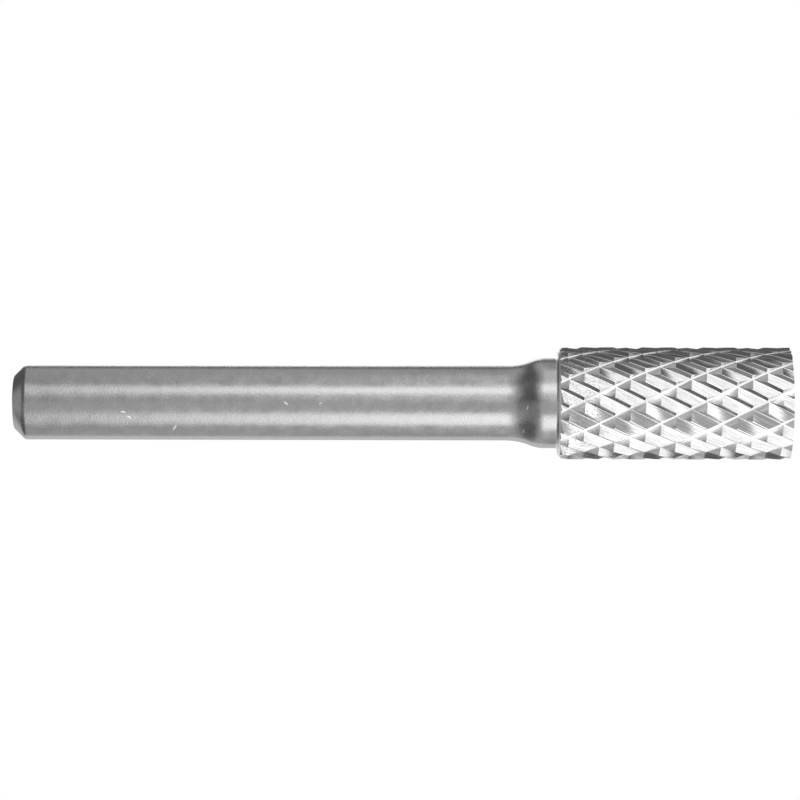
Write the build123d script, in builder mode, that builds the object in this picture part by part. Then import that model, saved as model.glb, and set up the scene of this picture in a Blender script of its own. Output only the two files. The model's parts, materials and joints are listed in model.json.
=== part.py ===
"""Cylindrical carbide burr: a cross-cut tungsten carbide head brazed to a steel shank.

Units are millimetres.  The burr stands on the flat nose of its head at z = 0 and
+Z runs up the axis to the free end of the shank.
"""
import os
from math import cos, degrees, pi, radians, sin, tan

from build123d import *

# Shank
SHANK_DIA = 6.35
SHANK_CHAMFER = 0.95
COLLAR_DIA = 7.64
COLLAR_LENGTH = 1.55
FLARE_ANGLE = 22.0
FLARE_BLEND_RADIUS = 5.5
OVERALL_LENGTH = 65.8

# Braze seam between the collar and the rear face of the head
BRAZE_THICKNESS = 0.2
BRAZE_FILLET = 0.18

# Head
HEAD_DIA = 9.525
HEAD_LENGTH = 19.7
REAR_CHAMFER = 0.4

# Teeth: right-hand flutes crossed by half as many left-hand grooves of the same form
FLUTE_COUNT = 22
CROSS_COUNT = 11
HELIX_ANGLE = 27.9
GROOVE_DEPTH = 0.26
FLUTE_WALL = 0.34
CROSS_WALL = 0.28
RELIEF_HOLLOW_RATIO = 0.22
FLUTE_START_ANGLE = 13.6
CROSS_START_ANGLE = 25.9
CROSS_RELIEF_RATIO = 1.1
RUN_OUT = 0.4

HEAD_RADIUS = HEAD_DIA / 2
FLOOR_RADIUS = HEAD_RADIUS - GROOVE_DEPTH
HELIX_LEAD = pi * HEAD_DIA / tan(radians(HELIX_ANGLE))
RELIEF_ANGLE = 360 / FLUTE_COUNT - degrees(FLUTE_WALL / HEAD_RADIUS)
COLLAR_BASE = HEAD_LENGTH + BRAZE_THICKNESS
FLARE_BASE = COLLAR_BASE + COLLAR_LENGTH
FLARE_RISE = (COLLAR_DIA - SHANK_DIA) / 2
FLARE_SLANT = FLARE_RISE / sin(radians(FLARE_ANGLE))
FLARE_TOP = FLARE_BASE + FLARE_RISE / tan(radians(FLARE_ANGLE))
LARGEST_BLEND = 0.9 * FLARE_SLANT / tan(radians(FLARE_ANGLE / 2))


def polar(radius: float, angle: float) -> tuple[float, float]:
    """Point at a radius and an angle in degrees, in the plane across the axis."""
    return radius * cos(radians(angle)), radius * sin(radians(angle))


def relief_radius(share: float) -> float:
    """Radius of the hollow-ground relief, from the groove floor (0) to the cutting edge (1)."""
    return FLOOR_RADIUS + GROOVE_DEPTH * (share - 4 * RELIEF_HOLLOW_RATIO * share * (1 - share))


def twisted_bar(teeth: int, wall: float, reach: float, start: float, left_hand: bool) -> Part:
    """Bar a little longer than the head, with ratchet teeth that follow a helix.

    Going round, each tooth rises from the groove floor up its wall and falls back
    along the relief.  `reach` is the share of the relief that is drawn: above 1 the
    tooth stands proud of the head, so only the lower part of its groove cuts it.
    """
    pitch = 360 / teeth
    crest = relief_radius(reach)
    wall_angle = degrees(wall / HEAD_RADIUS) * (crest - FLOOR_RADIUS) / GROOVE_DEPTH
    edge_angle = pitch - reach * RELIEF_ANGLE
    overrun = 360 * RUN_OUT / HELIX_LEAD
    with BuildLine() as tooth:
        wall_line = Line(polar(FLOOR_RADIUS, 0), polar(crest, wall_angle))
        if reach > 1:
            Line(wall_line @ 1, polar(crest, edge_angle))
        ThreePointArc(
            polar(crest, edge_angle),
            polar(relief_radius(reach / 2), (edge_angle + pitch) / 2),
            polar(FLOOR_RADIUS, pitch),
        )
    with BuildPart() as bar:
        with BuildSketch(Plane.XY.offset(-RUN_OUT)):
            with BuildLine(Rotation(0, 0, start + (overrun if left_hand else -overrun))):
                with PolarLocations(0, teeth):
                    add(tooth.line)
            make_face()
        with BuildLine() as axis:
            Line((0, 0, -RUN_OUT), (0, 0, HEAD_LENGTH + RUN_OUT))
        with BuildLine(Plane.XY.offset(-RUN_OUT)) as helix:
            Helix(HELIX_LEAD, HEAD_LENGTH + 2 * RUN_OUT, HEAD_RADIUS, lefthand=left_hand)
        sweep(path=axis.wire(), binormal=helix.edge())
    return bar.part


with BuildPart() as carbide_head:
    add(twisted_bar(FLUTE_COUNT, FLUTE_WALL, 1.0, FLUTE_START_ANGLE, left_hand=False))
    add(
        twisted_bar(CROSS_COUNT, CROSS_WALL, CROSS_RELIEF_RATIO, CROSS_START_ANGLE, left_hand=True),
        mode=Mode.INTERSECT,
    )
    with BuildSketch(Plane.XZ):
        with BuildLine():
            Polyline(
                (0, 0),
                (HEAD_DIA, 0),
                (HEAD_DIA, HEAD_LENGTH - REAR_CHAMFER - HEAD_RADIUS),
                (HEAD_RADIUS - REAR_CHAMFER, HEAD_LENGTH),
                (0, HEAD_LENGTH),
                close=True,
            )
        make_face()
    revolve(axis=Axis.Z, mode=Mode.INTERSECT)

with BuildPart() as braze_joint:
    with BuildSketch(Plane.XZ):
        with BuildLine():
            seam = Line((0, COLLAR_BASE), (COLLAR_DIA / 2, COLLAR_BASE))
            Line((0, HEAD_LENGTH), seam @ 0)
            toe = Line((0, HEAD_LENGTH), (COLLAR_DIA / 2 + BRAZE_FILLET, HEAD_LENGTH))
            TangentArc(seam @ 1, toe @ 1, tangent=(0, -1))
        make_face()
    revolve(axis=Axis.Z)

with BuildPart() as shank:
    with BuildSketch(Plane.XZ) as half:
        with BuildLine():
            Polyline(
                (0, COLLAR_BASE),
                (COLLAR_DIA / 2, COLLAR_BASE),
                (COLLAR_DIA / 2, FLARE_BASE),
                (SHANK_DIA / 2, FLARE_TOP),
                (SHANK_DIA / 2, OVERALL_LENGTH),
                (0, OVERALL_LENGTH),
                close=True,
            )
        make_face()
        neck = half.vertices().group_by(Axis.Y)[2].sort_by(Axis.X)[-1]
        fillet(neck, min(FLARE_BLEND_RADIUS, LARGEST_BLEND))
        chamfer(half.vertices().group_by(Axis.Y)[-1].sort_by(Axis.X)[-1], SHANK_CHAMFER)
    revolve(axis=Axis.Z)

carbide_head.part.label = "carbide_head"
braze_joint.part.label = "braze_joint"
shank.part.label = "shank"

os.makedirs("parts", exist_ok=True)
export_step(carbide_head.part, "parts/carbide_head.step")
export_step(braze_joint.part, "parts/braze_joint.step")
export_step(shank.part, "parts/shank.step")
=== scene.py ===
"""Looks of a cylindrical carbide burr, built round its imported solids.

All sizes are in metres.  The burr stands on the nose of its head at z = 0, and +Z runs
up the axis to the free end of the shank.
"""
from __future__ import annotations

import json
import logging
import math
import random
from collections.abc import Callable, Iterator
from contextlib import contextmanager
from dataclasses import dataclass
from enum import Enum

import bmesh
import bpy
from bpy.types import Material, NodeSocket, NodeTree, Object, ShaderNode
from mathutils import Matrix, Vector

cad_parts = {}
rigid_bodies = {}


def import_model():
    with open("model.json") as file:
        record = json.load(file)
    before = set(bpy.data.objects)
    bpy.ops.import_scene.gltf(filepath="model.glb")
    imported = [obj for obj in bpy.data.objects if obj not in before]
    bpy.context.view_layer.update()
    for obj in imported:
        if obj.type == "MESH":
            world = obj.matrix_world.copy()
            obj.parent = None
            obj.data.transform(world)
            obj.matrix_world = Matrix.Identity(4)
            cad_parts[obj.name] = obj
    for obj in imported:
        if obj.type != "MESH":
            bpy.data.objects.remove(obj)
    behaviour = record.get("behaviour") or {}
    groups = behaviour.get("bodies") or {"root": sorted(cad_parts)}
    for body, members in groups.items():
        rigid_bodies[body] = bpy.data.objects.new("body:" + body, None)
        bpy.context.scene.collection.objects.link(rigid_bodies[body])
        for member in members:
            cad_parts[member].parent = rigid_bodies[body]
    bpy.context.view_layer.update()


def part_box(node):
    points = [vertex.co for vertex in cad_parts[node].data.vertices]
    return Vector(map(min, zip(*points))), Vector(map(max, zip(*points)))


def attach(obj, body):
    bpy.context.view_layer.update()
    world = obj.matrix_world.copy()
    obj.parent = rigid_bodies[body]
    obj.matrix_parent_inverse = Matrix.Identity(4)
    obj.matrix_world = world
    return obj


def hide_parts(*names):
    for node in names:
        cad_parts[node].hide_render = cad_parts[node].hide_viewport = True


LOG = logging.getLogger("burr")
MM = 0.001
PER_MM = 1000.0
TURN = 2 * math.pi
NEAR = 1e-6  # two places closer than this are the same
FLOAT = "NodeSocketFloat"


class Slot(Enum):
    """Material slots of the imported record."""

    STEEL = "shank_steel"
    BRAZE = "braze"
    CARBIDE = "carbide"


class Ground(Enum):
    """Which grinding pass left a face of the head, in the order of its material slots."""

    FLUTE = 0
    CROSS = 1
    END = 2


# ---------------------------------------------------------------- modelling by operators


def deselect_all() -> None:
    """Leave every object unselected."""
    for obj in bpy.data.objects:
        obj.select_set(False)


@contextmanager
def editing(obj: Object) -> Iterator[None]:
    """Hold one object in edit mode, with everything else unselected.

    Args:
        obj: The mesh object to edit.

    Yields:
        Nothing; the object is in edit mode inside the block.
    """
    deselect_all()
    bpy.context.view_layer.objects.active = obj
    obj.select_set(True)
    bpy.ops.object.mode_set(mode="EDIT")
    try:
        yield
    finally:
        bpy.ops.object.mode_set(mode="OBJECT")


def select_vertices(obj: Object, wanted: Callable[[int, Vector], bool]) -> None:
    """Select the vertices that a test accepts, in edit mode.

    Args:
        obj: The object in edit mode.
        wanted: Takes a vertex's number and place and says whether it is selected.
    """
    bpy.ops.mesh.select_mode(type="VERT")
    bpy.ops.mesh.select_all(action="DESELECT")
    mesh = bmesh.from_edit_mesh(obj.data)
    for vertex in mesh.verts:
        vertex.select = wanted(vertex.index, vertex.co)
    mesh.select_flush(True)
    bmesh.update_edit_mesh(obj.data)


def select_edges(obj: Object, wanted: Callable[[Vector, Vector], bool]) -> None:
    """Select the edges that a test accepts, in edit mode.

    Args:
        obj: The object in edit mode.
        wanted: Takes an edge's two ends and says whether it is selected.
    """
    bpy.ops.mesh.select_mode(type="EDGE")
    bpy.ops.mesh.select_all(action="DESELECT")
    mesh = bmesh.from_edit_mesh(obj.data)
    for edge in mesh.edges:
        edge.select = wanted(edge.verts[0].co, edge.verts[1].co)
    mesh.select_flush_mode()
    bmesh.update_edit_mesh(obj.data)


def add_ring(name: str, sides: int, radius: float, height: float, filled: bool) -> Object:
    """Add a circle across the axis.

    Args:
        name: Name of the new object.
        sides: Number of its corners.
        radius: Its radius.
        height: Its place along the axis.
        filled: Whether it is a disc or only its edge.

    Returns:
        The new object, with its place in its mesh.
    """
    deselect_all()
    bpy.ops.mesh.primitive_circle_add(
        vertices=sides, radius=radius, fill_type="NGON" if filled else "NOTHING", location=(0, 0, 0))
    disc = bpy.context.object
    disc.name = disc.data.name = name
    with editing(disc):
        bpy.ops.mesh.select_all(action="SELECT")
        bpy.ops.transform.translate(value=(0, 0, height))
    return disc


def turn(name: str, outline: list[tuple[float, float]], sides: int) -> Object:
    """Turn a solid bar by drawing a disc up through a row of rings.

    Args:
        name: Name of the new object.
        outline: Radius and height of each ring, from the lowest up.
        sides: Number of facets round the axis.

    Returns:
        A closed solid of revolution about the Z axis.
    """
    radius, height = outline[0]
    bar = add_ring(name, sides, radius, height, filled=True)
    with editing(bar):
        bpy.ops.mesh.select_all(action="SELECT")
        for next_radius, next_height in outline[1:]:
            bpy.ops.mesh.extrude_region_move(TRANSFORM_OT_translate={"value": (0, 0, next_height - height)})
            scale = next_radius / radius
            bpy.ops.transform.resize(value=(scale, scale, 1), center_override=(0, 0, next_height))
            radius, height = next_radius, next_height
        bpy.ops.mesh.select_all(action="SELECT")
        bpy.ops.mesh.normals_make_consistent(inside=False)
    return bar


def round_ring(obj: Object, radius: float, height: float, width: float, segments: int) -> None:
    """Round the corner that runs round the axis at a radius and height.

    Args:
        obj: The turned object.
        radius: Radius of the corner.
        height: Height of the corner.
        width: Width of the rounding to each side.
        segments: Number of its facets.
    """
    def on_ring(point: Vector) -> bool:
        """Whether a point lies on the ring."""
        return abs(point.z - height) < NEAR and abs(math.hypot(point.x, point.y) - radius) < NEAR

    with editing(obj):
        select_edges(obj, lambda a, b: on_ring(a) and on_ring(b))
        bpy.ops.mesh.bevel(offset=width, segments=segments, profile=0.5, affect="EDGES")


def apply_modifier(obj: Object, kind: str, **settings: object) -> None:
    """Add one modifier and apply it.

    Args:
        obj: The object to change.
        kind: Blender's name for the type of modifier.
        **settings: Its values.
    """
    deselect_all()
    bpy.context.view_layer.objects.active = obj
    obj.select_set(True)
    modifier = obj.modifiers.new(kind.lower(), kind)
    for key, value in settings.items():
        setattr(modifier, key, value)
    bpy.ops.object.modifier_apply(modifier=modifier.name)


def keep_common(obj: Object, other: Object) -> None:
    """Cut an object back to what it shares with another, and remove the other.

    Args:
        obj: The object that stays.
        other: The cutter, which is deleted.
    """
    apply_modifier(obj, "BOOLEAN", operation="INTERSECT", object=other, solver="EXACT", material_mode="INDEX")
    bpy.data.objects.remove(other)


def smooth(obj: Object, limit: float) -> None:
    """Shade smooth, with edges sharper than a limit kept crisp.

    Args:
        obj: The mesh object.
        limit: The angle in degrees.
    """
    deselect_all()
    bpy.context.view_layer.objects.active = obj
    obj.select_set(True)
    bpy.ops.object.shade_smooth_by_angle(angle=math.radians(limit))


# ---------------------------------------------------------------- shader node groups


class Nodes:
    """Short-hand for laying out the nodes of one tree."""

    def __init__(self, tree: NodeTree) -> None:
        """Take the tree that nodes are added to."""
        self.tree = tree

    def add(self, kind: str, inputs: dict[str | int, object] | None = None, **settings: object) -> ShaderNode:
        """Add a node.

        Args:
            kind: Blender's name for the type of node.
            inputs: Values or source sockets for its inputs.
            **settings: The node's own properties.

        Returns:
            The new node.
        """
        node = self.tree.nodes.new(kind)
        for key, value in settings.items():
            setattr(node, key, value)
        for key, value in (inputs or {}).items():
            if isinstance(value, NodeSocket):
                self.tree.links.new(value, node.inputs[key])
            else:
                node.inputs[key].default_value = value
        return node

    def math(self, operation: str, *values: object) -> NodeSocket:
        """Add a Math node and return its result."""
        return self.add("ShaderNodeMath", dict(enumerate(values)), operation=operation).outputs[0]

    def vector(self, operation: str, *values: object) -> NodeSocket:
        """Add a Vector Math node and return its vector."""
        return self.add("ShaderNodeVectorMath", dict(enumerate(values)), operation=operation).outputs[0]

    def length(self, vector: NodeSocket) -> NodeSocket:
        """Add a node that measures a vector."""
        return self.add("ShaderNodeVectorMath", {0: vector}, operation="LENGTH").outputs["Value"]

    def point(self) -> NodeSocket:
        """Add a node that gives the shaded point in the piece's own frame."""
        return self.add("ShaderNodeTexCoord").outputs["Object"]

    def split(self, vector: NodeSocket) -> bpy.types.bpy_prop_collection:
        """Add a node that gives a vector's three parts."""
        return self.add("ShaderNodeSeparateXYZ", {0: vector}).outputs

    def noise(self, place: NodeSocket, scale: object, detail: float, roughness: float) -> NodeSocket:
        """Add a noise texture and return its value."""
        return self.add("ShaderNodeTexNoise", {
            "Vector": place, "Scale": scale, "Detail": detail, "Roughness": roughness}).outputs[0]

    def remap(self, value: NodeSocket, low: object, high: object, first: float, last: float) -> NodeSocket:
        """Map a value from one range to another, held within it.

        Args:
            value: The value to map.
            low: Start of its own range.
            high: End of its own range.
            first: Result at the start.
            last: Result at the end.

        Returns:
            The mapped value.
        """
        return self.add("ShaderNodeMapRange", {
            "Value": value, "From Min": low, "From Max": high, "To Min": first, "To Max": last}).outputs[0]

    def blend(self, share: NodeSocket, under: NodeSocket, over: tuple[float, float, float]) -> NodeSocket:
        """Lay a plain colour over another by a mask."""
        return self.add("ShaderNodeMix", {0: share, 6: under, 7: (*over, 1)}, data_type="RGBA").outputs[2]

    def tint(self, colour: tuple[float, float, float], tone: NodeSocket) -> NodeSocket:
        """Scale a colour's brightness."""
        return self.add("ShaderNodeVectorMath", {0: colour, "Scale": tone}, operation="SCALE").outputs[0]

    def bump(self, height: NodeSocket, strength: float, distance: float) -> NodeSocket:
        """Add a Bump node and return its normal."""
        return self.add("ShaderNodeBump", {
            "Height": height, "Strength": strength, "Distance": distance}).outputs[0]


def new_group(name: str, inputs: dict[str, tuple[str, float]], outputs: dict[str, str]) -> NodeTree:
    """Start a shader node group with named sockets.

    Args:
        name: Name of the group.
        inputs: Each input's socket type and default value.
        outputs: Each output's socket type.

    Returns:
        The empty group.
    """
    group = bpy.data.node_groups.new(name, "ShaderNodeTree")
    for title, (kind, default) in inputs.items():
        socket = group.interface.new_socket(title, in_out="INPUT", socket_type=kind)
        socket.default_value = default
    for title, kind in outputs.items():
        group.interface.new_socket(title, in_out="OUTPUT", socket_type=kind)
    return group


def helix_grain_group() -> NodeTree:
    """Grinding lines that run along a helix round the Z axis.

    Returns:
        A group with the inputs Slope (turn about the axis per metre of height), Radius (of the
        ground face), Fineness (lines per millimetre) and Stretch (how fast a line changes along
        its length, as a share of how fast it does across), and the output Lines, from 0 to 1.
    """
    group = new_group(
        "helix_grain",
        {
            "Slope": (FLOAT, 0.0), "Radius": (FLOAT, 4.7 * MM),
            "Fineness": (FLOAT, 6.0), "Stretch": (FLOAT, 0.06)},
        {"Lines": FLOAT},
    )
    make = Nodes(group)
    given = make.add("NodeGroupInput").outputs
    place = make.point()
    split = make.split(place)
    angle = make.math("ARCTAN2", split[1], split[0])
    along = make.math("MULTIPLY", split[2], given["Slope"])
    across = make.math("MULTIPLY", make.math("SUBTRACT", angle, along), given["Radius"])
    risen = make.math("MULTIPLY", split[2], given["Stretch"])
    deep = make.math("MULTIPLY", make.length(place), given["Stretch"])
    grain_place = make.add("ShaderNodeCombineXYZ", {0: across, 1: risen, 2: deep}).outputs[0]
    size = make.math("MULTIPLY", given["Fineness"], PER_MM)
    lines = make.noise(grain_place, size, detail=4.0, roughness=0.65)
    make.add("NodeGroupOutput", {"Lines": lines})
    return group


def blasted_grain_group() -> NodeTree:
    """Fine grain and broader cloudiness of a blasted surface.

    Returns:
        A group with inputs Grain and Cloud, both sizes per millimetre, and the outputs
        Fine and Broad, from 0 to 1, and Pits, 1 in scattered specks.
    """
    group = new_group(
        "blasted_grain",
        {"Grain": (FLOAT, 8.0), "Cloud": (FLOAT, 0.6)},
        {"Fine": FLOAT, "Broad": FLOAT, "Pits": FLOAT},
    )
    make = Nodes(group)
    given = make.add("NodeGroupInput").outputs
    place = make.point()
    pit_fineness = 0.62 * PER_MM
    fine = make.noise(place, make.math("MULTIPLY", given["Grain"], PER_MM), detail=3.0, roughness=0.6)
    broad = make.noise(place, make.math("MULTIPLY", given["Cloud"], PER_MM), detail=4.0, roughness=0.55)
    specks = make.noise(place, make.math("MULTIPLY", given["Grain"], pit_fineness), detail=2.0, roughness=0.5)
    pits = make.remap(specks, 0.55, 0.62, 0.0, 1.0)
    make.add("NodeGroupOutput", {"Fine": fine, "Broad": broad, "Pits": pits})
    return group


def painted_floor_highlight_group() -> NodeTree:
    """Mask of a band along the floors of the grooves, where a painted highlight is laid.

    Returns:
        A group with the inputs Deepest (radius of the floors) and Band (height of the band
        over them), and the output Mask, 1 on the floors and 0 above the band.
    """
    group = new_group(
        "painted_floor_highlight", {"Deepest": (FLOAT, 4.5 * MM), "Band": (FLOAT, 0.03 * MM)}, {"Mask": FLOAT})
    make = Nodes(group)
    given = make.add("NodeGroupInput").outputs
    radius = make.length(make.vector("MULTIPLY", make.point(), (1, 1, 0)))
    top = make.math("ADD", given["Deepest"], given["Band"])
    make.add("NodeGroupOutput", {"Mask": make.remap(radius, given["Deepest"], top, 1.0, 0.0)})
    return group


def nick_glint_group() -> NodeTree:
    """A short nick on the side of the shank that faces -Y, masked for its painted glint.

    Returns:
        A group with the inputs Up (distance along X), Height (along Z), Lean (in radians),
        Length and Width (half the nick's), and the output Mask, 1 inside the nick.
    """
    group = new_group("nick", {
        "Up": (FLOAT, 0.0), "Height": (FLOAT, 40 * MM), "Lean": (FLOAT, 0.0),
        "Length": (FLOAT, 0.2 * MM), "Width": (FLOAT, 0.05 * MM)}, {"Mask": FLOAT})
    make = Nodes(group)
    given = make.add("NodeGroupInput").outputs
    place = make.point()
    ragged_depth = 0.1 * MM
    ragged_fineness = 9 * PER_MM
    stray = make.add("ShaderNodeTexNoise", {"Vector": place, "Scale": ragged_fineness, "Detail": 2.0})
    strayed = make.vector("MULTIPLY_ADD", stray.outputs["Color"], (ragged_depth,) * 3, place)
    centre = make.add("ShaderNodeCombineXYZ", {0: given["Up"], 2: given["Height"]}).outputs[0]
    turned = make.add("ShaderNodeVectorRotate", {
        "Vector": make.vector("SUBTRACT", strayed, centre), "Axis": (0, 1, 0), "Angle": given["Lean"],
    }, rotation_type="AXIS_ANGLE").outputs[0]
    split = make.split(turned)
    along = make.math("POWER", make.math("DIVIDE", split[2], given["Length"]), 2.0)
    across = make.math("POWER", make.math("DIVIDE", split[0], given["Width"]), 2.0)
    inside = make.remap(make.math("ADD", along, across), 0.4, 1.0, 1.0, 0.0)
    faces_out = make.math("LESS_THAN", make.split(place)[1], 0.0)
    make.add("NodeGroupOutput", {"Mask": make.math("MULTIPLY", inside, faces_out)})
    return group


def use_group(make: Nodes, group: NodeTree, inputs: dict[str, object]) -> bpy.types.bpy_prop_collection:
    """Place a node group in a material.

    Args:
        make: The material's nodes.
        group: The group to place.
        inputs: Values for its inputs.

    Returns:
        The outputs of the placed group.
    """
    return make.add("ShaderNodeGroup", inputs, node_tree=group).outputs


# ---------------------------------------------------------------- finishes


@dataclass(frozen=True)
class Finish:
    """A bare metal finish.

    Attributes:
        name: Name of the material.
        colour: Base colour, linear.
        roughness: Mean roughness.
    """

    name: str
    colour: tuple[float, float, float]
    roughness: float

    def start(self) -> tuple[Material, Nodes, ShaderNode]:
        """Make the material with a plain metal shader.

        Returns:
            The material, its nodes and its Principled BSDF.
        """
        material = bpy.data.materials.new(self.name)
        material.use_nodes = True
        shader = material.node_tree.nodes["Principled BSDF"]
        shader.inputs["Base Color"].default_value = (*self.colour, 1)
        shader.inputs["Metallic"].default_value = 1.0
        shader.inputs["Roughness"].default_value = self.roughness
        return material, Nodes(material.node_tree), shader


@dataclass(frozen=True)
class Nick:
    """One nick in the shank, where a painted white glint makes the steel show bright.

    Attributes:
        up: Its place along X.
        height: Its place along Z.
        lean: Turn of its long way from the axis, in degrees.
        length: Half its length.
        width: Half its width.
    """

    up: float
    height: float
    lean: float
    length: float
    width: float

    def mask(self, make: Nodes, group: NodeTree) -> NodeSocket:
        """Place the nick among a material's nodes.

        Args:
            make: The material's nodes.
            group: The nick node group.

        Returns:
            1 inside the nick, 0 outside.
        """
        return use_group(make, group, {
            "Up": self.up, "Height": self.height, "Lean": math.radians(self.lean),
            "Length": self.length, "Width": self.width})["Mask"]


NICKS = (
    Nick(-0.75 * MM, 56.4 * MM, -8, 0.26 * MM, 0.09 * MM),
    Nick(-1.2 * MM, 55.9 * MM, -40, 0.2 * MM, 0.09 * MM),
    Nick(-2.08 * MM, 52.1 * MM, 55, 0.3 * MM, 0.1 * MM),
    Nick(0.0, 42.7 * MM, -35, 0.26 * MM, 0.1 * MM),
    Nick(-0.35 * MM, 22.4 * MM, 75, 0.24 * MM, 0.08 * MM),
    Nick(-2.3 * MM, 22.7 * MM, 60, 0.2 * MM, 0.08 * MM),
    Nick(0.0, 39.8 * MM, 20, 0.14 * MM, 0.08 * MM),
)


@dataclass(frozen=True)
class BlastedMetal(Finish):
    """Satin metal with a fine blasted grain.

    Attributes:
        grain: Fineness of the grain, per millimetre.
        cloud: Fineness of the broader patches, per millimetre.
        grain_depth: Strength of the grain's relief.
        grain_height: Height of the grain.
        unevenness: How far the roughness strays to either side.
        mottle: How far the tone strays to either side, as a share.
    """

    grain: float = 7.0
    cloud: float = 0.9
    grain_depth: float = 0.5
    grain_height: float = 0.02 * MM
    unevenness: float = 0.05
    mottle: float = 0.12

    def build(self, grain_group: NodeTree) -> Material:
        """Make the material.

        Args:
            grain_group: The blasted grain node group.

        Returns:
            The finished material.
        """
        material, make, shader = self.start()
        link = make.tree.links.new
        marks = use_group(make, grain_group, {"Grain": self.grain, "Cloud": self.cloud})
        rough = make.remap(
            marks["Broad"], 0.3, 0.7, self.roughness - self.unevenness, self.roughness + self.unevenness)
        link(rough, shader.inputs["Roughness"])
        both = make.math("MULTIPLY_ADD", marks["Fine"], 0.6, marks["Broad"])
        tone = make.remap(both, 0.55, 1.05, 1 - self.mottle, 1 + self.mottle)
        link(self.paint(make, tone), shader.inputs["Base Color"])
        link(make.bump(marks["Fine"], self.grain_depth, self.grain_height), shader.inputs["Normal"])
        return material

    def paint(self, make: Nodes, tone: NodeSocket) -> NodeSocket:
        """Colour of the metal, from the tone of its grain."""
        return make.tint(self.colour, tone)


@dataclass(frozen=True)
class NickedMetal(BlastedMetal):
    """Blasted metal with a few real nicks, each painted with a white glint.

    Attributes:
        nicks: The nicks.
        nick_glint_colour: Colour of the painted glint inside them.
    """

    nicks: tuple[Nick, ...] = NICKS
    nick_glint_colour: tuple[float, float, float] = (1.0, 1.0, 1.0)

    def paint(self, make: Nodes, tone: NodeSocket) -> NodeSocket:
        """Lay the nicks' painted glint over the colour of the grain.

        Args:
            make: The material's nodes.
            tone: Brightness of the grain.

        Returns:
            The colour of the metal.
        """
        group = nick_glint_group()
        paint = super().paint(make, tone)
        for nick in self.nicks:
            # Painted glint: each nick is laid over in white.
            paint = make.blend(nick.mask(make, group), paint, self.nick_glint_colour)
        return paint


@dataclass(frozen=True)
class GroundCarbide(Finish):
    """Bright ground carbide with grinding lines along one family of grooves, and a painted highlight along
    the groove floors.

    Attributes:
        slope: Turn of the lines about the axis per metre of height.
        fineness: Fineness of the lines, per millimetre.
        line_tones: Brightness in the dark lines and in the bright ones.
        line_roughness: Change of the roughness in the same lines.
        relief_depth: Strength of the relief of lines, grain and pits.
        relief_height: Height of that relief.
        grain: Fineness of the grain, per millimetre.
        grain_tones: Brightness in the dark grains and in the bright ones.
        grain_depth: Depth of the grain over the depth of a grinding line.
        cloud: Fineness of the patches that pits gather in, per millimetre.
        pitting: Share of the pits that is left on the sound part of the head.
        sound_height: The head is sound up to this height.
        pitted_height: The head is fully pitted from this height up.
        pit_shade: How much darker a pit is, as a share.
        pit_depth: Depth of a pit over the depth of a grinding line.
        floor_radius: Radius of the groove floors.
        highlight_band: Height over the floors of the band that carries the painted highlight.
        floor_highlight_colour: Colour of the painted highlight, white to stand for the light caught in the
            hollow floors.
        floor_roughness: Roughness of the band with the painted highlight.
    """

    slope: float = 0.0
    fineness: float = 9.0
    line_tones: tuple[float, float] = (0.8, 1.15)
    line_roughness: tuple[float, float] = (-0.05, 0.08)
    relief_depth: float = 0.4
    relief_height: float = 0.012 * MM
    grain: float = 11.0
    grain_tones: tuple[float, float] = (0.9, 1.1)
    grain_depth: float = 0.5
    cloud: float = 0.7
    pitting: float = 0.12
    sound_height: float = 13 * MM
    pitted_height: float = 18.5 * MM
    pit_shade: float = 0.4
    pit_depth: float = 1.2
    floor_radius: float = 4.49 * MM
    highlight_band: float = 0.018 * MM
    floor_highlight_colour: tuple[float, float, float] = (1.0, 1.0, 1.0)
    floor_roughness: float = 0.34

    def build(self, lines_group: NodeTree, grain_group: NodeTree, highlight_group: NodeTree) -> Material:
        """Make the material.

        Args:
            lines_group: The helix grain node group.
            grain_group: The blasted grain node group.
            highlight_group: The node group that masks the painted highlight on the groove floors.

        Returns:
            The finished material.
        """
        material, make, shader = self.start()
        link = make.tree.links.new
        lines = use_group(make, lines_group, {"Slope": self.slope, "Fineness": self.fineness})["Lines"]
        grain = use_group(make, grain_group, {"Grain": self.grain, "Cloud": self.cloud})
        # Mask of the groove floors, which get a painted highlight: white standing for the light caught in
        # their hollows.
        floor = use_group(make, highlight_group, {"Deepest": self.floor_radius, "Band": self.highlight_band})["Mask"]
        pits = self.pits(make, grain)

        smoother, rougher = (self.roughness + change for change in self.line_roughness)
        rough = make.remap(lines, 0.3, 0.7, smoother, rougher)
        rough = make.add("ShaderNodeMix", {0: floor, 2: rough, 3: self.floor_roughness}).outputs[0]
        link(rough, shader.inputs["Roughness"])

        tone = make.remap(lines, 0.35, 0.65, *self.line_tones)
        tone = make.math("MULTIPLY", tone, make.math("MULTIPLY_ADD", pits, -self.pit_shade, 1.0))
        tone = make.math("MULTIPLY", tone, make.remap(grain["Fine"], 0.35, 0.68, *self.grain_tones))
        # Painted highlight: white laid over the carbide colour along the groove floors.
        paint = make.blend(floor, make.tint(self.colour, tone), self.floor_highlight_colour)
        link(paint, shader.inputs["Base Color"])

        relief = make.math("MULTIPLY_ADD", grain["Fine"], self.grain_depth, lines)
        relief = make.math("MULTIPLY_ADD", pits, -self.pit_depth, relief)
        link(make.bump(relief, self.relief_depth, self.relief_height), shader.inputs["Normal"])
        return material

    def pits(self, make: Nodes, grain: bpy.types.bpy_prop_collection) -> NodeSocket:
        """Gather the pits in patches, and most of them at the rear of the head.

        Args:
            make: The material's nodes.
            grain: The outputs of the blasted grain.

        Returns:
            The share of a full pit at each point.
        """
        height = make.split(make.point())[2]
        worn = make.remap(height, self.sound_height, self.pitted_height, self.pitting, 1.0)
        patch = make.remap(grain["Broad"], 0.4, 0.55, 0.0, 1.0)
        return make.math("MULTIPLY", make.math("MULTIPLY", grain["Pits"], patch), worn)


# ---------------------------------------------------------------- the burr


COLLAR_RADIUS = 3.82 * MM


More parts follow.
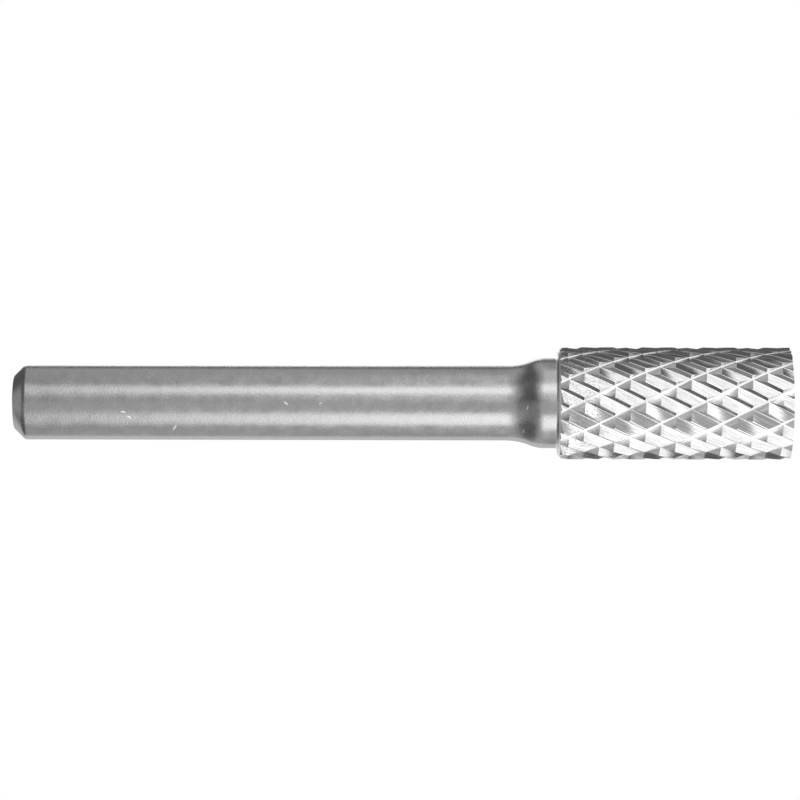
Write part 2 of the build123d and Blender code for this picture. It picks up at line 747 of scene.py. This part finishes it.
@dataclass
class Shank:
    """The turned steel shank, its flared neck and its collar.

    Attributes:
        radius: Radius of the parallel part.
        chamfer: Chamfer of the free end.
        collar_length: Length of the collar.
        flare_angle: Half the angle of the flare's cone.
        flare_blend: Radius of the blend from flare to parallel part.
        blend_steps: Number of facets along that blend.
        corner_rounding: Rounding of the chamfer's outer corner, to each side.
        face_rounding: Rounding of the chamfer's inner corner.
        collar_rounding: Rounding of the corner from collar to flare.
        sides: Number of facets round the axis.
    """

    radius: float = 3.175 * MM
    chamfer: float = 0.95 * MM
    collar_length: float = 1.55 * MM
    flare_angle: float = math.radians(22)
    flare_blend: float = 5.5 * MM
    blend_steps: int = 10
    corner_rounding: float = 0.22 * MM
    face_rounding: float = 0.12 * MM
    collar_rounding: float = 0.55 * MM
    sides: int = 192

    def outline(self, low: float, high: float) -> list[tuple[float, float]]:
        """Rings of the shank from its collar to its free end.

        Args:
            low: Height of the collar's lower face.
            high: Height of the free end.

        Returns:
            Radius and height of each ring.
        """
        rings = [(COLLAR_RADIUS, low), (COLLAR_RADIUS, low + self.collar_length)]
        rise = COLLAR_RADIUS - self.radius
        corner = low + self.collar_length + rise / math.tan(self.flare_angle)
        reach = self.flare_blend * math.tan(self.flare_angle / 2)
        for step in range(self.blend_steps + 1):
            turned = self.flare_angle * (1 - step / self.blend_steps)
            radius = self.radius + self.flare_blend * (1 - math.cos(turned))
            rings.append((radius, corner + reach - self.flare_blend * math.sin(turned)))
        rings.append((self.radius, high - self.chamfer))
        rings.append((self.radius - self.chamfer, high))
        return rings

    def build(self, finish: Material) -> Object:
        """Turn the shank between the heights of its CAD node.

        Args:
            finish: Its material.

        Returns:
            The finished piece.
        """
        low, high = (corner.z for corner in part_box("shank"))
        piece = turn("shank_visual", self.outline(low, high), self.sides)
        round_ring(piece, self.radius, high - self.chamfer, self.corner_rounding, segments=4)
        round_ring(piece, self.radius - self.chamfer, high, self.face_rounding, segments=3)
        round_ring(piece, COLLAR_RADIUS, low + self.collar_length, self.collar_rounding, segments=6)
        smooth(piece, limit=30)
        piece.data.materials.append(finish)
        return place(piece, "shank", Slot.STEEL)


@dataclass
class BrazeSeam:
    """The bead of silver braze between collar and head.

    Attributes:
        fillet: How far the bead reaches out over the head.
        fillet_steps: Number of facets along its hollow.
        sides: Number of facets round the axis.
    """

    fillet: float = 0.18 * MM
    fillet_steps: int = 6
    sides: int = 192

    def build(self, finish: Material) -> Object:
        """Turn the seam between the heights of its CAD node.

        Args:
            finish: Its material.

        Returns:
            The finished piece.
        """
        low, high = (corner.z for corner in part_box("braze_joint"))
        toe = COLLAR_RADIUS + self.fillet
        rings = [(toe, low)]
        for step in range(1, self.fillet_steps):
            turned = math.pi / 2 * step / self.fillet_steps
            rings.append((toe - self.fillet * math.sin(turned), high - (high - low) * math.cos(turned)))
        rings.append((COLLAR_RADIUS, high))
        piece = turn("braze_visual", rings, self.sides)
        smooth(piece, limit=40)
        piece.data.materials.append(finish)
        return place(piece, "braze_joint", Slot.BRAZE)


@dataclass(frozen=True)
class GrooveFamily:
    """One set of helical grooves, all cut with the same side of a hollow-ground form.

    Attributes:
        count: Number of grooves.
        hand: 1 for right-hand, -1 for left-hand.
        start: Angle of the first groove's floor at the nose, in degrees.
        depth: Depth of the groove.
        wall: Width of the steep side, along the circumference.
        relief: Width of the gentle side, from groove floor to cutting edge.
        floor: Radius of the rounding at the groove floor.
        hollow: How far the middle of the relief is hollowed, as a share of the depth.
        wander: How far single grooves stray to either side, along the circumference.
        seed: Picks how they stray.
        reach: Share of both sides that is drawn; above 1 the tooth stands proud.
    """

    count: int
    hand: int
    start: float
    depth: float
    wall: float
    relief: float
    floor: float
    hollow: float
    wander: float
    seed: int
    reach: float = 1.0

    def section(self, relief_steps: int, floor_steps: int) -> list[tuple[float, float]]:
        """Corners of one groove, from the top of its steep side to its cutting edge.

        Args:
            relief_steps: Number of facets across the relief.
            floor_steps: Number of facets round the groove floor.

        Returns:
            Distance round from the meeting of the two sides, and height over it, of each corner.
        """
        steep = self.depth / self.wall
        gentle = self.depth / self.relief * (1 - 4 * self.hollow)
        lean_steep, lean_gentle = math.hypot(1, steep), math.hypot(1, gentle)
        centre = self.floor * (lean_steep - lean_gentle) / (steep + gentle)
        lift = self.floor * lean_gentle + gentle * centre
        first, last = -math.atan(steep), math.atan(gentle)
        corners = [(-self.wall * self.reach, self.depth * self.reach)]
        for step in range(floor_steps + 1):
            turned = first + (last - first) * step / floor_steps
            corners.append((centre + self.floor * math.sin(turned), lift - self.floor * math.cos(turned)))
        foot = corners[-1][0] / self.relief
        for step in range(1, relief_steps + 1):
            share = foot + (self.reach - foot) * step / relief_steps
            height = self.depth * (share - 4 * self.hollow * share * (1 - share))
            corners.append((share * self.relief, height))
        return corners


FLUTES = GrooveFamily(
    count=22, hand=1, start=13.1, depth=0.27 * MM, wall=0.25 * MM, relief=1.04 * MM, floor=0.1 * MM,
    hollow=0.13, wander=0.012 * MM, seed=5)
CROSSINGS = GrooveFamily(
    count=11, hand=-1, start=25.5, depth=0.28 * MM, wall=0.18 * MM, relief=1.08 * MM, floor=0.11 * MM,
    hollow=0.17, wander=0.012 * MM, seed=9, reach=1.2)


@dataclass
class Head:
    """The carbide head with its cross-cut teeth.

    Attributes:
        radius: Radius over the cutting edges.
        rear_chamfer: Chamfer of the rear end.
        helix_angle: Angle of both families of grooves to the axis.
        relief_steps: Number of facets across a tooth's relief.
        floor_steps: Number of facets round a groove's floor.
        layers: Number of facets along a bar.
        blank_sides: Number of facets round the blank.
        overrun: How far the flutes are drawn past each end.
        flutes: The right-hand grooves.
        crossings: The left-hand grooves.
    """

    radius: float = 4.76 * MM
    rear_chamfer: float = 0.4 * MM
    helix_angle: float = math.radians(27.9)
    relief_steps: int = 6
    floor_steps: int = 10
    layers: int = 72
    blank_sides: int = 128
    overrun: float = 0.6 * MM
    flutes: GrooveFamily = FLUTES
    crossings: GrooveFamily = CROSSINGS

    def slope(self) -> float:
        """Turn of a groove about the axis per metre of height, in radians."""
        return math.tan(self.helix_angle) / self.radius

    def bar(self, name: str, family: GrooveFamily, low: float, high: float) -> Object:
        """Draw out a bar with one family of grooves.

        Args:
            name: Name of the bar.
            family: The grooves.
            low: Height of its lower end.
            high: Height of its upper end.

        Returns:
            The twisted bar.
        """
        corners = family.section(self.relief_steps, self.floor_steps)
        pitch = TURN / family.count
        section = sorted(((-along / self.radius) % pitch, height) for along, height in corners)
        per_tooth = len(section)
        bar = add_ring(name, family.count * per_tooth, self.radius, low, filled=False)
        spread = random.Random(family.seed)
        first_corner = TURN / 4  # a new circle's first corner is on +Y
        twist = family.hand * self.slope()
        start = math.radians(family.start) + twist * low - first_corner
        with editing(bar):
            for corner, (angle, height) in enumerate(section):
                select_vertices(bar, lambda number, _: number % per_tooth == corner)
                moved = start + angle - pitch * corner / per_tooth
                self.shift(moved, 1 - (family.depth - height) / self.radius, low)
            for groove in range(family.count):
                select_vertices(bar, lambda number, _: number // per_tooth == groove)
                self.shift(spread.uniform(-1, 1) * family.wander / self.radius, 1, low)
        apply_modifier(
            bar, "SCREW", axis="Z", angle=twist * (high - low), screw_offset=high - low,
            steps=self.layers, render_steps=self.layers, use_smooth_shade=False)
        with editing(bar):
            for end in (low, high):
                select_vertices(bar, lambda _, point: abs(point.z - end) < NEAR)
                bpy.ops.mesh.edge_face_add()
            bpy.ops.mesh.select_all(action="SELECT")
            bpy.ops.mesh.normals_make_consistent(inside=False)
        return bar

    @staticmethod
    def shift(angle: float, scale: float, height: float) -> None:
        """Turn the selected corners about the axis and move them in or out.

        Args:
            angle: How far to turn, anticlockwise seen from above.
            scale: New distance from the axis over the old one.
            height: Height of the section.
        """
        centre = (0, 0, height)
        bpy.ops.transform.rotate(value=-angle, orient_axis="Z", orient_type="GLOBAL", center_override=centre)
        bpy.ops.transform.resize(value=(scale, scale, 1), center_override=centre)

    def build(self, finishes: dict[Ground, Material]) -> Object:
        """Cut the head out of its two twisted bars and its turned blank.

        Args:
            finishes: The material of each kind of ground face.

        Returns:
            The finished piece.
        """
        low, high = (corner.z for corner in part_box("carbide_head"))
        head = self.bar("head_visual", self.flutes, low - self.overrun, high + self.overrun)
        crossed = self.bar("crossed_bar", self.crossings, low - 2 * self.overrun, high + 2 * self.overrun)
        # The blank is wider than the bars, so that only its ends and its chamfer cut them.
        spare = self.crossings.depth
        blank = turn("head_blank", [
            (self.radius + spare, low),
            (self.radius + spare, high - self.rear_chamfer - spare),
            (self.radius - self.rear_chamfer, high)], self.blank_sides)
        for kind, piece in zip(Ground, (head, crossed, blank)):
            for finish in finishes.values():
                piece.data.materials.append(finish)
            for face in piece.data.polygons:
                face.material_index = kind.value
        keep_common(head, crossed)
        keep_common(head, blank)
        smooth(head, limit=7)
        return place(head, "carbide_head", Slot.CARBIDE)


def place(piece: Object, node: str, slot: Slot) -> Object:
    """Put a finished piece in the frame in place of its CAD node.

    Args:
        piece: The finished piece.
        node: The CAD node that it stands for.
        slot: The record's material slot; not used.

    Returns:
        The piece.
    """
    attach(piece, "root")
    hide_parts(node)
    LOG.info("%s stands for %s with %d faces", piece.name, node, len(piece.data.polygons))
    return piece


# ---------------------------------------------------------------- studio


@dataclass(frozen=True)
class Panel:
    """A soft-edged sheet of light far off, placed by the directions that it fills.

    A limit past 180 degrees round, or past 90 to a side, leaves the panel open there.

    Attributes:
        low: Lower limit round the burr's axis, in degrees above the line of sight.
        high: Upper limit round the burr's axis.
        rear: Limit on the side of the shank, in degrees from square to the axis.
        front: Limit on the side of the nose.
        level: Brightness that it adds.
    """

    low: float
    high: float
    rear: float
    front: float
    level: float


PANELS = (
    Panel(27, 50, -8, 5, 1.45),  # streak along the upper side
    Panel(8, 98, 4, 34, 1.3),  # tooth faces, from above the nose
    Panel(-72, -33, -7, 11, 1.25),  # streak along the lower side
    Panel(-106, -29, 6, 114, 1.4),  # tooth faces, from below the nose
    Panel(-60, 3, -50, -4, 0.17),  # flare, from below
    Panel(14, 56, -22, -8, 0.3),  # flare, from above
    Panel(-32, 20, 4, 60, 0.42),  # tooth faces, from beside the camera
    Panel(-400, -132, -60, 60, 0.6),  # lower rim
    Panel(150, 400, -14, 2, 1.6),  # upper rim
    Panel(-140, 130, -14, 4, 0.44),  # broad fill, square to the axis
    Panel(-400, 400, -120, -66, 0.3),  # chamfers that face the rear
)


@dataclass
class Studio:
    """Camera, soft light and a white floor.

    Attributes:
        distance: From the camera to the burr's axis.
        scale: Picture points to the metre, at the burr's axis.
        picture: Width of the picture, in points.
        nose_at: Where the nose stands across the picture, in points.
        axis_at: Where the axis stands down the picture, in points.
        roll: Turn of the camera about its line of sight.
        floor_width: Width of the floor.
        fill: Brightness of the light from all round.
        softness: Half the width of a panel's soft edge, in degrees.
    """

    distance: float = 340 * MM
    scale: float = 11780.0
    picture: int = 800
    nose_at: float = 789.5
    axis_at: float = 402.9
    roll: float = math.radians(0.13)
    floor_width: float = 4.0
    fill: float = 0.15
    softness: float = 4.5

    def build(self) -> None:
        """Set up the stage."""
        self.add_camera()
        self.add_floor()
        self.add_world()

    def add_camera(self) -> None:
        """Look along +Y with the burr's nose to the right of the picture."""
        data = bpy.data.cameras.new("camera")
        data.sensor_width = 36
        data.lens = self.scale * self.distance * data.sensor_width / self.picture
        data.clip_start = 10 * MM
        camera = bpy.data.objects.new("camera", data)
        bpy.context.scene.collection.objects.link(camera)
        middle = self.picture / 2
        height = (self.nose_at - middle) / self.scale
        aside = (self.axis_at - middle) / self.scale
        turn_to_view = Matrix(((0, 1, 0), (0, 0, -1), (-1, 0, 0))).to_4x4()
        camera.matrix_world = (
            Matrix.Translation((aside, -self.distance, height))
            @ turn_to_view
            @ Matrix.Rotation(self.roll, 4, "Z"))
        bpy.context.scene.camera = camera

    def add_floor(self) -> None:
        """Lay a pale floor that the camera sees as plain white."""
        deselect_all()
        bpy.ops.mesh.primitive_plane_add(size=self.floor_width, location=(0, 0, 0))
        floor = bpy.context.object
        floor.name = "floor"
        material = bpy.data.materials.new("floor_white")
        material.use_nodes = True
        tree = material.node_tree
        tree.nodes.remove(tree.nodes["Principled BSDF"])
        make = Nodes(tree)
        light = make.add("ShaderNodeEmission", {"Color": (1, 1, 1, 1), "Strength": 1.0})
        clear = make.add("ShaderNodeBsdfTransparent")
        under = make.add("ShaderNodeNewGeometry").outputs["Backfacing"]
        mix = make.add("ShaderNodeMixShader", {0: under, 1: light.outputs[0], 2: clear.outputs[0]})
        tree.links.new(mix.outputs[0], tree.nodes["Material Output"].inputs["Surface"])
        floor.data.materials.append(material)
        floor.visible_glossy = floor.visible_diffuse = floor.visible_shadow = False

    def add_world(self) -> None:
        """Surround the set with white for the camera and with soft panels for everything else."""
        world = bpy.data.worlds.new("studio")
        world.use_nodes = True
        bpy.context.scene.world = world
        make = Nodes(world.node_tree)
        toward = make.add("ShaderNodeTexCoord").outputs["Generated"]
        split = make.split(toward)
        lift = make.math("ARCTAN2", split[0], make.math("MULTIPLY", split[1], -1.0))
        aside = make.math("ARCSINE", make.math("MULTIPLY", split[2], -1.0))
        light = self.fill
        for panel in PANELS:
            across = self.window(make, lift, panel.low, panel.high)
            along = self.window(make, aside, panel.rear, panel.front)
            share = make.math("MULTIPLY", across, along)
            light = make.math("MULTIPLY_ADD", share, panel.level, light)
        seen = make.add("ShaderNodeLightPath").outputs["Is Camera Ray"]
        level = make.add("ShaderNodeMix", {0: seen, 2: light, 3: 1.0}).outputs[0]
        back = world.node_tree.nodes["Background"]
        back.inputs["Color"].default_value = (1, 1, 1, 1)
        make.tree.links.new(level, back.inputs["Strength"])
        bpy.context.scene.view_settings.view_transform = "Standard"

    def window(self, make: Nodes, angle: NodeSocket, low: float, high: float) -> NodeSocket:
        """Mask the directions between two limits, with soft edges.

        Args:
            make: The nodes of the world.
            angle: The angle to test, in radians.
            low: Lower limit in degrees.
            high: Upper limit in degrees.

        Returns:
            1 inside, 0 outside.
        """
        masks = []
        for limit, before in ((low, 0.0), (high, 1.0)):
            edge = make.add("ShaderNodeMapRange", {
                "Value": angle, "From Min": math.radians(limit - self.softness),
                "From Max": math.radians(limit + self.softness), "To Min": before, "To Max": 1 - before},
                interpolation_type="SMOOTHSTEP")
            masks.append(edge.outputs[0])
        return make.math("MULTIPLY", *masks)


def main() -> None:
    """Build the burr and its studio, in order."""
    logging.basicConfig(level=logging.INFO, format="%(name)s: %(message)s")
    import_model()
    studio = Studio()
    studio.build()
    grain = blasted_grain_group()
    lines = helix_grain_group()
    # floors holds the mask of the painted highlight on the groove floors.
    floors = painted_floor_highlight_group()
    steel = NickedMetal("blasted_steel", (0.475, 0.475, 0.475), 0.25).build(grain)
    braze = BlastedMetal("silver_braze", (0.75, 0.72, 0.66), 0.25, grain=14.0).build(grain)
    head = Head()
    carbide = {
        Ground.FLUTE: GroundCarbide("flute_ground_carbide", (0.64, 0.64, 0.64), 0.1, slope=head.slope()),
        Ground.CROSS: GroundCarbide("cross_ground_carbide", (0.64, 0.64, 0.64), 0.12, slope=-head.slope()),
        Ground.END: GroundCarbide("end_ground_carbide", (0.85, 0.85, 0.85), 0.5),
    }
    Shank().build(steel)
    BrazeSeam().build(braze)
    head.build({kind: finish.build(lines, grain, floors) for kind, finish in carbide.items()})


if __name__ == "__main__":
    main()
